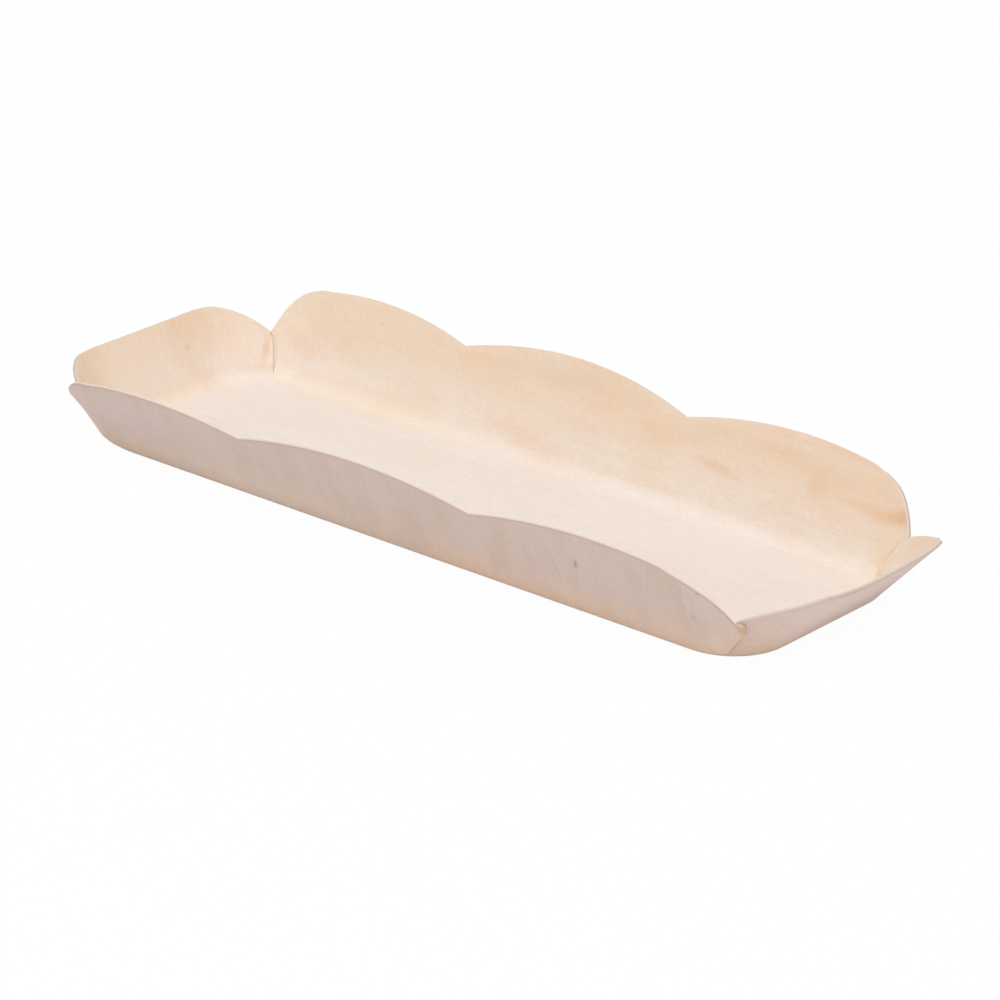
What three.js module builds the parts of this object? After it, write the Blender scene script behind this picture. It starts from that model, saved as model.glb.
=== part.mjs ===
// Wooden snack boat: a shallow serving tray pressed from two crossed wood veneers.
// Millimetres, +Z up, +X along the tray towards its longer lobes, origin under its middle.
// A height up a wall is given as a slope length: the way along the sheet from the flat floor's edge.

import * as THREE from "three";

// Sheet
const PLY_THICKNESS = 0.45;
const GLUE_FILM_THICKNESS = 0.1;

// Floor and the bend that leads into the walls, at the middle of the sheet
const FLOOR_LENGTH = 189;
const FLOOR_WIDTH = 55.2;
const FLOOR_CORNER_RADIUS = 11.4;
const BEND_RADIUS = 5.4;

// Lean of the walls from level, in degrees: the long walls open more at the left end
const LEFT_SIDE_WALL_ANGLE = 57.3;
const RIGHT_SIDE_WALL_ANGLE = 67.3;
const LEFT_END_WALL_ANGLE = 56.6;
const RIGHT_END_WALL_ANGLE = 47.8;

// Scalloped rim of the long walls: three lobes that meet at two cusps
const LEFT_CUSP_FROM_MIDDLE = 39.7;
const RIGHT_CUSP_FROM_MIDDLE = 27.9;
const CUSP_SLOPE = 24.3;
const MIDDLE_LOBE_SLOPE = 29.8;
const LEFT_LOBE_SLOPE = 28.4;
const RIGHT_LOBE_SLOPE = 29.1;
const LEFT_LOBE_TOP_FROM_CUSP = 27.9;
const RIGHT_LOBE_TOP_FROM_CUSP = 33.2;
const LEFT_SHOULDER_LENGTH = 6.8;
const RIGHT_SHOULDER_LENGTH = 12.1;

// Free tips of the long walls: the share of the corner's curl that they lose above the notch, and
// the slope length in which they do. The left tips spring open and the right tips curl in further.
const LEFT_TIP_SPRING = 0.37;
const RIGHT_TIP_SPRING = -0.33;
const TIP_SPRING_RISE = 8;

// Notches between the walls: their turn round the corner, in degrees, and their depth
const LEFT_NOTCH_TURN = 34;
const RIGHT_NOTCH_TURN = 40.2;
const LEFT_NOTCH_SLOPE = 14.4;
const RIGHT_NOTCH_SLOPE = 15.1;

// End walls: the slope at their middle, its rise towards the corners and the rounded shoulders
const LEFT_END_SLOPE = 21.9;
const RIGHT_END_SLOPE = 22.7;
const LEFT_END_CORNER_RISE = 0.1;
const RIGHT_END_CORNER_RISE = 8.9;
const LEFT_END_SHOULDER_LENGTH = 8.2;
const RIGHT_END_SHOULDER_LENGTH = 7.7;

// Corners: a slit up each one lets the long wall lap over the outside of the end wall
const SLIT_START_SLOPE = 3.6;
const SLIT_RELIEF = 0.15;
const LAP_PARTING_LENGTH = 2.5;
const SIDE_TONGUE_WIDTH = 2;
const END_TONGUE_WIDTH = 0.7;
const LAP_LEVEL_LENGTH = 2;
const LAP_RUNOUT = 8;
const TONGUE_DROP = 1.6;
const CORNER_GLUE_THICKNESS = 0.16;
const CORNER_GLUE_LEAST_WIDTH = 0.8;
const CORNER_GLUE_INSET = 0.2;
const CORNER_GLUE_CLEARANCE = 0.05;

// Fineness of the facets, and the power of the curves that round the shoulders
const BEND_ROWS = 3;
const MIDDLE_LOBE_STEPS = 10;
const SIDE_LOBE_STEPS = 12;
const END_STEPS = 8;
const SIDE_SHOULDER_POWER = 3;
const LEFT_END_SHOULDER_POWER = 1.45;
const RIGHT_END_SHOULDER_POWER = 0.95;
const LEAST_LAP_STRIP = 0.5;
const LEAST_ROW_HEIGHT = 1;

// Finish
const INNER_VENEER_COLOUR = 0xeedccb;
const OUTER_VENEER_COLOUR = 0xd0bbae;
const GLUE_FILM_COLOUR = 0xd9c3a3;
const CORNER_GLUE_COLOUR = 0xd8b98a;
const WOOD_ROUGHNESS = 0.75;
const GLUE_ROUGHNESS = 0.5;

const SHEET_THICKNESS = 2 * PLY_THICKNESS + GLUE_FILM_THICKNESS;
const LAP_WIDTH = SIDE_TONGUE_WIDTH + END_TONGUE_WIDTH;
const LAP_GAP = CORNER_GLUE_THICKNESS + 2 * CORNER_GLUE_CLEARANCE;
const LAP_SHIFT = (SHEET_THICKNESS + LAP_GAP) / 2;
const PARTED_SLOPE = SLIT_START_SLOPE + LAP_PARTING_LENGTH;

// The way round the floor's edge is measured from the middle of a long side, in each quarter alike
const QUARTER_TURN = Math.PI / 2;
const STRAIGHT_SIDE = FLOOR_LENGTH / 2 - FLOOR_CORNER_RADIUS;
const STRAIGHT_END = FLOOR_WIDTH / 2 - FLOOR_CORNER_RADIUS;
const CORNER_ARC = FLOOR_CORNER_RADIUS * QUARTER_TURN;
const QUARTER_WAY = STRAIGHT_SIDE + CORNER_ARC + STRAIGHT_END;

const radians = THREE.MathUtils.degToRad;
const { clamp, lerp, smoothstep } = THREE.MathUtils;

const leftEnd = {
  name: "left",
  sign: -1,
  wallAngle: radians(LEFT_END_WALL_ANGLE),
  cusp: LEFT_CUSP_FROM_MIDDLE,
  lobe: LEFT_LOBE_SLOPE,
  lobeTop: LEFT_LOBE_TOP_FROM_CUSP,
  shoulder: LEFT_SHOULDER_LENGTH,
  notch: STRAIGHT_SIDE + FLOOR_CORNER_RADIUS * radians(LEFT_NOTCH_TURN),
  notchSlope: LEFT_NOTCH_SLOPE,
  tipSpring: LEFT_TIP_SPRING,
  endSlope: LEFT_END_SLOPE,
  cornerRise: LEFT_END_CORNER_RISE,
  endShoulder: LEFT_END_SHOULDER_LENGTH,
  endShoulderPower: LEFT_END_SHOULDER_POWER,
};
const rightEnd = {
  name: "right",
  sign: 1,
  wallAngle: radians(RIGHT_END_WALL_ANGLE),
  cusp: RIGHT_CUSP_FROM_MIDDLE,
  lobe: RIGHT_LOBE_SLOPE,
  lobeTop: RIGHT_LOBE_TOP_FROM_CUSP,
  shoulder: RIGHT_SHOULDER_LENGTH,
  notch: STRAIGHT_SIDE + FLOOR_CORNER_RADIUS * radians(RIGHT_NOTCH_TURN),
  notchSlope: RIGHT_NOTCH_SLOPE,
  tipSpring: RIGHT_TIP_SPRING,
  endSlope: RIGHT_END_SLOPE,
  cornerRise: RIGHT_END_CORNER_RISE,
  endShoulder: RIGHT_END_SHOULDER_LENGTH,
  endShoulderPower: RIGHT_END_SHOULDER_POWER,
};

const FRONT = { name: "front", sign: -1 };
const BACK = { name: "back", sign: 1 };

// Lean of the wall: the long wall's angle changes evenly from end to end and turns into the end
// wall's angle round the corner.
function wallAngle(end, way) {
  const along = (end.sign * Math.min(way, FLOOR_LENGTH / 2)) / FLOOR_LENGTH + 0.5;
  const sideAngle = radians(lerp(LEFT_SIDE_WALL_ANGLE, RIGHT_SIDE_WALL_ANGLE, along));
  const turned = smoothstep(way, STRAIGHT_SIDE, STRAIGHT_SIDE + CORNER_ARC);
  return lerp(sideAngle, end.wallAngle, turned);
}

// Wall section: an arc of the bend radius up to the wall's lean, then straight. Gives how far out
// and how high the sheet's middle is at a slope length, and its lean there.
function wallSection(angle, slope) {
  const lean = Math.min(slope / BEND_RADIUS, angle);
  const straight = Math.max(slope - BEND_RADIUS * angle, 0);
  return {
    lean,
    out: BEND_RADIUS * Math.sin(lean) + straight * Math.cos(angle),
    up: BEND_RADIUS * (1 - Math.cos(lean)) + straight * Math.sin(angle),
  };
}

// Share of the corner's curl that a wall has lost at a slope length.
function curlLost(wall, end, slope) {
  if (!wall.springs) return 0;
  return end.tipSpring * smoothstep(slope, end.notchSlope, end.notchSlope + TIP_SPRING_RISE);
}

// Point on the sheet, lifted square off its middle towards the inside of the tray. Round a corner
// the sheet follows an arc about the floor's corner, which grows wider where the tip springs open.
function sheetPoint(wall, end, side, way, slope, lift) {
  const section = wallSection(wallAngle(end, way), slope);
  const reach = FLOOR_CORNER_RADIUS + section.out - lift * Math.sin(section.lean);
  const curl = 1 - curlLost(wall, end, slope);
  const turn = curl * clamp((way - STRAIGHT_SIDE) / FLOOR_CORNER_RADIUS, 0, QUARTER_TURN);
  const radius = reach / curl;
  const pastCorner = Math.max(way - STRAIGHT_SIDE - CORNER_ARC, 0);
  const x = Math.min(way, STRAIGHT_SIDE) + radius * Math.sin(turn);
  const y = STRAIGHT_END - pastCorner + reach - radius * (1 - Math.cos(turn));
  return new THREE.Vector3(end.sign * x, side.sign * y, section.up + lift * Math.cos(section.lean));
}

// Width of a wall's tongue past the line of the notch: the slit opens by its relief while the
// sheets part, and from there the tongue widens up to the notch.
function tongueWidth(wall, end, slope) {
  const opened = -SLIT_RELIEF / 2;
  if (slope <= PARTED_SLOPE) {
    return opened * clamp((slope - SLIT_START_SLOPE) / LAP_PARTING_LENGTH, 0, 1);
  }
  return lerp(opened, wall.tongue, (slope - PARTED_SLOPE) / (end.notchSlope - PARTED_SLOPE));
}

// Slope length at which the lap has reached a width.
function slopeAtLapWidth(end, width) {
  return lerp(PARTED_SLOPE, end.notchSlope, (width + SLIT_RELIEF) / (LAP_WIDTH + SLIT_RELIEF));
}

// A width at the corner, as way round the floor's edge: the corner widens going up.
function widthAsWay(end, slope, width) {
  const section = wallSection(wallAngle(end, end.notch), slope);
  return (width * FLOOR_CORNER_RADIUS) / (FLOOR_CORNER_RADIUS + section.out);
}

// Rim of a long wall: the middle lobe is a parabola between the cusps, and a side lobe is a
// parabola from its cusp, rounded down to the notch. Past the notch it is the tongue's edge.
function sideRim(end, way) {
  const span = LEFT_CUSP_FROM_MIDDLE + RIGHT_CUSP_FROM_MIDDLE;
  if (way <= end.cusp) {
    const fromLeftCusp = end.sign * way + LEFT_CUSP_FROM_MIDDLE;
    const across = (2 * fromLeftCusp) / span - 1;
    return lerp(MIDDLE_LOBE_SLOPE, CUSP_SLOPE, across ** 2);
  }
  if (way > end.notch) return tongueRim(SIDE_WALL, end, way - end.notch);
  const lobe = (at) => lerp(end.lobe, CUSP_SLOPE, (1 - (at - end.cusp) / end.lobeTop) ** 2);
  const rounded = Math.max(1 - (end.notch - way) / end.shoulder, 0) ** SIDE_SHOULDER_POWER;
  return lobe(way) - (lobe(end.notch) - end.notchSlope) * rounded;
}

// Rim of an end wall: almost straight, with corners that rise and then round down to the notch.
function endRim(end, way) {
  if (way < end.notch) return tongueRim(END_WALL, end, end.notch - way);
  const fromMiddle = (QUARTER_WAY - way) / (QUARTER_WAY - end.notch);
  const straight = end.endSlope + end.cornerRise * fromMiddle ** 2;
  const rounded = Math.max(1 - (way - end.notch) / end.endShoulder, 0) ** end.endShoulderPower;
  return straight - (end.endSlope + end.cornerRise - end.notchSlope) * rounded;
}

// Past the notch, a wall's tongue falls away evenly over its width.
function tongueRim(wall, end, pastNotch) {
  return end.notchSlope - (TONGUE_DROP * pastNotch) / widthAsWay(end, end.notchSlope, wall.tongue);
}

// Where the sheets lap, the long wall steps out and the end wall steps in by half of the two
// thicknesses. The step starts at the slit and runs out along each wall.
function lapLift(wall, end, way, slope) {
  const parted = clamp((slope - SLIT_START_SLOPE) / LAP_PARTING_LENGTH, 0, 1);
  const fromNotch = wall.sign * (way - end.notch);
  const near = 1 - smoothstep(fromNotch, LAP_LEVEL_LENGTH, LAP_LEVEL_LENGTH + LAP_RUNOUT);
  return wall.sign * LAP_SHIFT * parted * near;
}

// The two kinds of wall: sign is the way that leads from the notch into the wall, tongue is the
// width that laps past the notch, and springs says whether its tips open or curl above the notch.
const SIDE_WALL = { sign: -1, rim: sideRim, tongue: SIDE_TONGUE_WIDTH, springs: true };
const END_WALL = { sign: 1, rim: endRim, tongue: END_TONGUE_WIDTH, springs: false };

// A column of points up a wall. wayAt gives its way round the floor's edge at each slope length.
function columnOf(wall, end, wayAt) {
  return { wall, end, wayAt };
}

// Columns across a wall's lap, from its inner border to its cut edge.
function lapColumns(wall, end) {
  return [0, 0.5, 1].map((across) =>
    columnOf(wall, end, (slope) => {
      const tongue = widthAsWay(end, slope, tongueWidth(wall, end, slope));
      const strip = Math.max(2 * tongue, widthAsWay(end, slope, LEAST_LAP_STRIP));
      return end.notch - wall.sign * (tongue - strip * (1 - across));
    }),
  );
}

function fixedColumns(wall, end, fromWay, toWay, steps) {
  return Array.from({ length: steps }, (_, step) => {
    const way = lerp(fromWay, toWay, (step + 1) / (steps + 1));
    return columnOf(wall, end, () => way);
  });
}

// Half of a long wall beyond its cusp: closer columns on the rounded shoulder.
function sideLobeColumns(end) {
  const shoulderStart = end.notch - end.shoulder;
  const lapStart = end.notch - LAP_LEVEL_LENGTH;
  const half = SIDE_LOBE_STEPS / 2;
  return [
    columnOf(SIDE_WALL, end, () => end.cusp),
    ...fixedColumns(SIDE_WALL, end, end.cusp, shoulderStart, half),
    columnOf(SIDE_WALL, end, () => shoulderStart),
    ...fixedColumns(SIDE_WALL, end, shoulderStart, lapStart, half),
    ...lapColumns(SIDE_WALL, end),
  ];
}

function sideColumns() {
  const middle = Array.from({ length: MIDDLE_LOBE_STEPS - 1 }, (_, step) => {
    const x = lerp(-LEFT_CUSP_FROM_MIDDLE, RIGHT_CUSP_FROM_MIDDLE, (step + 1) / MIDDLE_LOBE_STEPS);
    return columnOf(SIDE_WALL, x < 0 ? leftEnd : rightEnd, () => Math.abs(x));
  });
  return [...sideLobeColumns(leftEnd).reverse(), ...middle, ...sideLobeColumns(rightEnd)];
}

function endHalfColumns(end) {
  const lapStart = end.notch + LAP_LEVEL_LENGTH;
  return [
    ...lapColumns(END_WALL, end).reverse(),
    ...fixedColumns(END_WALL, end, lapStart, QUARTER_WAY, END_STEPS),
    columnOf(END_WALL, end, () => QUARTER_WAY),
  ];
}

// Rows up a column: the bend below the slit, the parting sheets, the straight wall and the rim.
function columnRows({ wall, end, wayAt }) {
  const rimWay = wayAt(end.notchSlope);
  const rim = wall.rim(end, rimWay);
  const bend = Array.from({ length: BEND_ROWS + 1 }, (_, row) => (SLIT_START_SLOPE * row) / BEND_ROWS);
  const bendEnd = Math.max(BEND_RADIUS * wallAngle(end, rimWay), PARTED_SLOPE + LEAST_ROW_HEIGHT);
  const upper = Math.min(bendEnd, (PARTED_SLOPE + rim) / 2);
  const slopes = [...bend, PARTED_SLOPE, upper, (upper + rim) / 2];
  const rows = slopes.map((slope) => ({ way: wayAt(slope), slope }));
  return [...rows, { way: rimWay, slope: rim }];
}

// The four walls, anticlockwise from above: each is a list of columns with their side of the tray.
const onSide = (side) => (column) => ({ ...column, side, rows: columnRows(column) });
function endWall(end) {
  const front = endHalfColumns(end).map(onSide(FRONT));
  const back = endHalfColumns(end).map(onSide(BACK)).reverse().slice(1);
  return [...front, ...back];
}
const walls = {
  front: sideColumns().map(onSide(FRONT)),
  right: endWall(rightEnd),
  back: sideColumns().map(onSide(BACK)).reverse(),
  left: endWall(leftEnd).reverse(),
};

// Collects the points of one closed body, joining those that coincide, and its triangles.
function newBody() {
  const points = [];
  const triangles = [];
  const known = new Map();
  return {
    add(point) {
      const key = point.toArray().map((value) => value.toFixed(5)).join(" ");
      if (!known.has(key)) {
        known.set(key, points.length);
        points.push(point);
      }
      return known.get(key);
    },
    quad(a, b, c, d) {
      for (const corners of [[a, b, c], [a, c, d]]) {
        if (new Set(corners).size === 3) triangles.push(...corners);
      }
    },
    geometry() {
      return new THREE.BufferGeometry().setFromPoints(points).setIndex(triangles);
    },
  };
}

// Skin of a layer between two sheets of points: both faces and the given border walls.
function addSheet(body, low, high) {
  for (let i = 0; i + 1 < low.length; i += 1) {
    for (let j = 0; j + 1 < low[i].length; j += 1) {
      body.quad(high[i][j], high[i][j + 1], high[i + 1][j + 1], high[i + 1][j]);
      body.quad(low[i][j], low[i + 1][j], low[i + 1][j + 1], low[i][j + 1]);
    }
  }
}

// Cut edge along a border, walked with the sheet on its left as seen from the high face.
function addEdge(body, low, high) {
  for (let i = 0; i + 1 < low.length; i += 1) {
    body.quad(low[i], low[i + 1], high[i + 1], high[i]);
  }
}

// Flat floor: strips across the tray between the long walls, and a fan out to each end wall.
function addFloor(body, edge, face) {
  const addLoop = (...loop) => body.quad(...(face === "high" ? loop : loop.reverse()));
  const back = [...edge.back].reverse();
  for (let i = 0; i + 1 < back.length; i += 1) {
    addLoop(edge.front[i], edge.front[i + 1], back[i + 1], back[i]);
  }
  for (const end of [edge.right, edge.left]) {
    for (let i = 1; i + 1 < end.length; i += 1) addLoop(end[0], end[i], end[i + 1], end[0]);
  }
}

// One layer of the sheet, between two lifts off its middle: floor, four walls and all cut edges.
function layerGeometry(lowLift, highLift) {
  const body = newBody();
  const floor = { low: {}, high: {} };
  const pointsAt = (columns, lift) =>
    columns.map(({ wall, end, side, rows }) =>
      rows.map(({ way, slope }) => {
        const lifted = lift + lapLift(wall, end, way, slope);
        return body.add(sheetPoint(wall, end, side, way, slope, lifted));
      }),
    );
  for (const [name, columns] of Object.entries(walls)) {
    const low = pointsAt(columns, lowLift);
    const high = pointsAt(columns, highLift);
    addSheet(body, low, high);
    const rim = (points) => points.map((column) => column.at(-1));
    addEdge(body, rim(low), rim(high));
    const slit = (points, at) => points.at(at).slice(BEND_ROWS);
    addEdge(body, slit(low, 0), slit(high, 0));
    addEdge(body, slit(low, -1).reverse(), slit(high, -1).reverse());
    floor.low[name] = low.map((column) => column[0]);
    floor.high[name] = high.map((column) => column[0]);
  }
  addFloor(body, floor.low, "low");
  addFloor(body, floor.high, "high");
  return body.geometry();
}

// Dab of glue inside a corner's lap, on the straight part of the wall, just short of its edges.
function cornerGlueGeometry(end, side) {
  const body = newBody();
  const bendEnd = BEND_RADIUS * wallAngle(end, end.notch) + CORNER_GLUE_INSET;
  const wideEnough = slopeAtLapWidth(end, CORNER_GLUE_LEAST_WIDTH + 2 * CORNER_GLUE_INSET);
  const lowest = Math.max(bendEnd, wideEnough);
  const highest = end.notchSlope - TONGUE_DROP - CORNER_GLUE_INSET;
  const border = (wall, slope) => {
    const width = tongueWidth(wall, end, slope) - CORNER_GLUE_INSET;
    return end.notch - wall.sign * widthAsWay(end, slope, width);
  };
  const columns = [0, 0.5, 1].map((across) =>
    [lowest, highest].map((slope) => {
      return { way: lerp(border(END_WALL, slope), border(SIDE_WALL, slope), across), slope };
    }),
  );
  if (end.sign * side.sign > 0) columns.reverse();
  const pointsAt = (lift) =>
    columns.map((rows) =>
      rows.map(({ way, slope }) => body.add(sheetPoint(END_WALL, end, side, way, slope, lift))),
    );
  const low = pointsAt(-CORNER_GLUE_THICKNESS / 2);
  const high = pointsAt(CORNER_GLUE_THICKNESS / 2);
  addSheet(body, low, high);
  const outline = (points) => {
    const bottom = points.map((rows) => rows[0]).reverse();
    const top = points.map((rows) => rows[1]);
    return [...bottom, ...top, bottom[0]];
  };
  addEdge(body, outline(low), outline(high));
  return body.geometry();
}

function newMesh(name, geometry, color, roughness) {
  const material = new THREE.MeshStandardMaterial({ color, roughness, metalness: 0 });
  const mesh = new THREE.Mesh(geometry, material);
  mesh.name = name;
  return mesh;
}

const underside = -SHEET_THICKNESS / 2;
const filmLow = underside + PLY_THICKNESS;
const filmHigh = filmLow + GLUE_FILM_THICKNESS;
const insideFace = filmHigh + PLY_THICKNESS;

const tray = new THREE.Group();
tray.add(
  newMesh("outer_ply", layerGeometry(underside, filmLow), OUTER_VENEER_COLOUR, WOOD_ROUGHNESS),
  newMesh("glue_film", layerGeometry(filmLow, filmHigh), GLUE_FILM_COLOUR, GLUE_ROUGHNESS),
  newMesh("inner_ply", layerGeometry(filmHigh, insideFace), INNER_VENEER_COLOUR, WOOD_ROUGHNESS),
);
for (const end of [leftEnd, rightEnd]) {
  for (const side of [FRONT, BACK]) {
    const name = `corner_glue_${side.name}_${end.name}`;
    const glue = cornerGlueGeometry(end, side);
    tray.add(newMesh(name, glue, CORNER_GLUE_COLOUR, GLUE_ROUGHNESS));
  }
}

// The origin is on the surface that the tray stands on, under the middle of its outline.
const box = new THREE.Box3().setFromObject(tray);
const middle = box.getCenter(new THREE.Vector3());
for (const mesh of tray.children) mesh.geometry.translate(-middle.x, -middle.y, -box.min.z);

export default tray;
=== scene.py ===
import math

import bmesh
import bpy
import numpy as np
from mathutils import Matrix, Vector


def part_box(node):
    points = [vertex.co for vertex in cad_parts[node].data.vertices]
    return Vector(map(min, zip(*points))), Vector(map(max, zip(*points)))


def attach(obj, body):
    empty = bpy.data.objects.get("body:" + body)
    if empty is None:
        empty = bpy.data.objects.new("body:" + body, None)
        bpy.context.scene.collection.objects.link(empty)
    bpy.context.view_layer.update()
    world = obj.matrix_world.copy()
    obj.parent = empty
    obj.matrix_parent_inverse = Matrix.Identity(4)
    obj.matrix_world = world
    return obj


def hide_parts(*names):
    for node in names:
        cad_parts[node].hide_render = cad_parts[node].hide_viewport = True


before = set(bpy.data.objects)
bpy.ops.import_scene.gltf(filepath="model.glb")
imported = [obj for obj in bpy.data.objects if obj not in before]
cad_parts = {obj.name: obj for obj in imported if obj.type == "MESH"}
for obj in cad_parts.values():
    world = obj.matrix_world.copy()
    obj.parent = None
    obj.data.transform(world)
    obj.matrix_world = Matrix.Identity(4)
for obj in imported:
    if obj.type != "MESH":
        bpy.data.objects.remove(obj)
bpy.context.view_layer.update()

# Outer ply: a pale rotary-cut veneer, 0.45 mm thick, with its grain running across the tray.
# The flat two-ply blank is die-cut to its scalloped outline, slit at the corners and pressed hot,
# which turns the walls up round the floor and laps each long wall over the end walls.
mm = 0.001
ply_thickness = 0.45 * mm
glue_film_thickness = 0.1 * mm
floor_length = 189 * mm
floor_width = 55.2 * mm
floor_corner_radius = 11.4 * mm
bend_radius = 5.4 * mm
cusp_slope = 24.3 * mm
middle_lobe_slope = 29.8 * mm
tip_spring_rise = 8 * mm
slit_start_slope = 3.6 * mm
slit_lean = 1.5 * mm
lap_parting_length = 2.5 * mm
side_tongue_width = 2 * mm
end_tongue_width = 0.7 * mm
lap_level_length = 2 * mm
lap_runout = 8 * mm
tongue_drop = 1.6 * mm
corner_glue_thickness = 0.16 * mm
corner_glue_clearance = 0.05 * mm
side_shoulder_power = 3
cut_edge_round = 0.14 * mm

sheet_thickness = 2 * ply_thickness + glue_film_thickness
lap_shift = (sheet_thickness + corner_glue_thickness + 2 * corner_glue_clearance) / 2
parted_slope = slit_start_slope + lap_parting_length
quarter_turn = math.pi / 2
straight_side = floor_length / 2 - floor_corner_radius
straight_end = floor_width / 2 - floor_corner_radius
corner_arc = floor_corner_radius * quarter_turn
quarter_way = straight_side + corner_arc + straight_end

left_end = {
    "side_angle": math.radians(57.3),
    "end_angle": math.radians(56.6),
    "cusp": 39.7 * mm,
    "lobe": 28.4 * mm,
    "lobe_top": 27.9 * mm,
    "shoulder": 6.8 * mm,
    "tip_spring": 0.37,
    "notch": straight_side + floor_corner_radius * math.radians(34),
    "notch_slope": 14.4 * mm,
    "end_slope": 21.9 * mm,
    "corner_rise": 0.1 * mm,
    "end_shoulder": 8.2 * mm,
    "end_power": 1.45,
}
right_end = {
    "side_angle": math.radians(67.3),
    "end_angle": math.radians(47.8),
    "cusp": 27.9 * mm,
    "lobe": 29.1 * mm,
    "lobe_top": 33.2 * mm,
    "shoulder": 12.1 * mm,
    "tip_spring": -0.33,
    "notch": straight_side + floor_corner_radius * math.radians(40.2),
    "notch_slope": 15.1 * mm,
    "end_slope": 22.7 * mm,
    "corner_rise": 8.9 * mm,
    "end_shoulder": 7.7 * mm,
    "end_power": 0.95,
}
LEFT, RIGHT, FRONT, BACK = -1, 1, -1, 1


def size_at(end, name):
    """A size of the left or the right end, picked by the sign of end."""
    return np.where(end < 0, left_end[name], right_end[name])


def lerp(start, stop, share):
    """The value that lies a share of the way from start to stop."""
    return start + (stop - start) * share


def ease(value, start, stop):
    """Rises smoothly from 0 at start to 1 at stop: three times the square less twice the cube."""
    share = np.clip((value - start) / (stop - start), 0, 1)
    return share * share * (3 - 2 * share)


def wall_angle(end, way):
    """Lean of the wall from level. The long wall's lean changes evenly from the left end to the
    right, and it eases into the end wall's lean round the corner."""
    along = end * np.minimum(way, floor_length / 2) / floor_length + 0.5
    side_angle = lerp(left_end["side_angle"], right_end["side_angle"], along)
    return lerp(side_angle, size_at(end, "end_angle"), ease(way, straight_side, straight_side + corner_arc))


def wall_section(angle, slope):
    """Section of a wall: an arc of the bend radius up to the wall's lean, then straight on.
    Gives the lean, the distance out and the height at a slope length."""
    lean = np.minimum(slope / bend_radius, angle)
    straight = np.maximum(slope - bend_radius * angle, 0)
    out = bend_radius * np.sin(lean) + straight * np.cos(angle)
    up = bend_radius * (1 - np.cos(lean)) + straight * np.sin(angle)
    return lean, out, up


def sheet_points(end, side, way, slope, lift, springs):
    """Points of the pressed sheet. The way runs round the floor's edge from the middle of a long
    side, the slope up the wall's section, and the lift square off the sheet's middle to the inside.
    Round a corner the section turns about the floor's corner; a tip that springs keeps its length
    but turns on a wider arc."""
    lean, out, up = wall_section(wall_angle(end, way), slope)
    reach = floor_corner_radius + out - lift * np.sin(lean)
    notch_slope = size_at(end, "notch_slope")
    opened = ease(slope, notch_slope, notch_slope + tip_spring_rise) if springs else 0
    curl = 1 - size_at(end, "tip_spring") * opened
    turn = curl * np.clip((way - straight_side) / floor_corner_radius, 0, quarter_turn)
    past_corner = np.maximum(way - straight_side - corner_arc, 0)
    x = np.minimum(way, straight_side) + reach / curl * np.sin(turn)
    y = straight_end - past_corner + reach - reach / curl * (1 - np.cos(turn))
    z = up + lift * np.cos(lean) + sheet_thickness / 2
    return np.stack(np.broadcast_arrays(end * x, side * y, z), axis=-1)


def blank_points(end, side, way, slope, lift):
    """The same points on the flat blank, before it is pressed: the slope is laid out straight and
    square to the floor's edge. The third number is the lift."""
    turn = np.clip((way - straight_side) / floor_corner_radius, 0, quarter_turn)
    past_corner = np.maximum(way - straight_side - corner_arc, 0)
    x = np.minimum(way, straight_side) + (floor_corner_radius + slope) * np.sin(turn)
    y = straight_end - past_corner + (floor_corner_radius + slope) * np.cos(turn)
    return np.stack(np.broadcast_arrays(end * x, side * y, lift), axis=-1)


def tongue_width_at(into_wall, end, slope):
    """Width of a wall's tongue past the line of the notch: it widens evenly from the slit's start
    up to the notch. The slit starts a little into the long wall and leans towards the end."""
    full_width = side_tongue_width if into_wall < 0 else end_tongue_width
    lapped = (slope - slit_start_slope) / (size_at(end, "notch_slope") - slit_start_slope)
    return lerp(into_wall * slit_lean, full_width, np.clip(lapped, 0, 1))


def width_as_way(end, slope, width):
    """A width at the corner, as way round the floor's edge, as the corner widens going up."""
    _, out, _ = wall_section(wall_angle(end, size_at(end, "notch")), slope)
    return width * floor_corner_radius / (floor_corner_radius + out)


def tongue_rim(end, past_notch, width):
    """Past the notch, the tongue of a lap falls away evenly over its width."""
    notch_slope = size_at(end, "notch_slope")
    return notch_slope - tongue_drop * past_notch / width_as_way(end, notch_slope, width)


def side_rim(end, way):
    """Rim of a long wall: a parabola between the cusps in the middle, and beyond each cusp a
    parabola that is rounded down to the notch by a power of the distance from it."""
    cusp, notch, lobe = (size_at(end, name) for name in ("cusp", "notch", "lobe"))
    span = left_end["cusp"] + right_end["cusp"]
    across = 2 * (end * way + left_end["cusp"]) / span - 1
    middle_lobe = lerp(middle_lobe_slope, cusp_slope, across**2)

    def side_lobe(at):
        """The parabola beyond a cusp, which is highest at the lobe's top."""
        return lerp(lobe, cusp_slope, (1 - (at - cusp) / size_at(end, "lobe_top")) ** 2)

    rounded = np.maximum(1 - (notch - way) / size_at(end, "shoulder"), 0) ** side_shoulder_power
    outer_lobe = side_lobe(way) - (side_lobe(notch) - size_at(end, "notch_slope")) * rounded
    rim = np.where(way <= cusp, middle_lobe, outer_lobe)
    return np.where(way > notch, tongue_rim(end, way - notch, side_tongue_width), rim)


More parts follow.
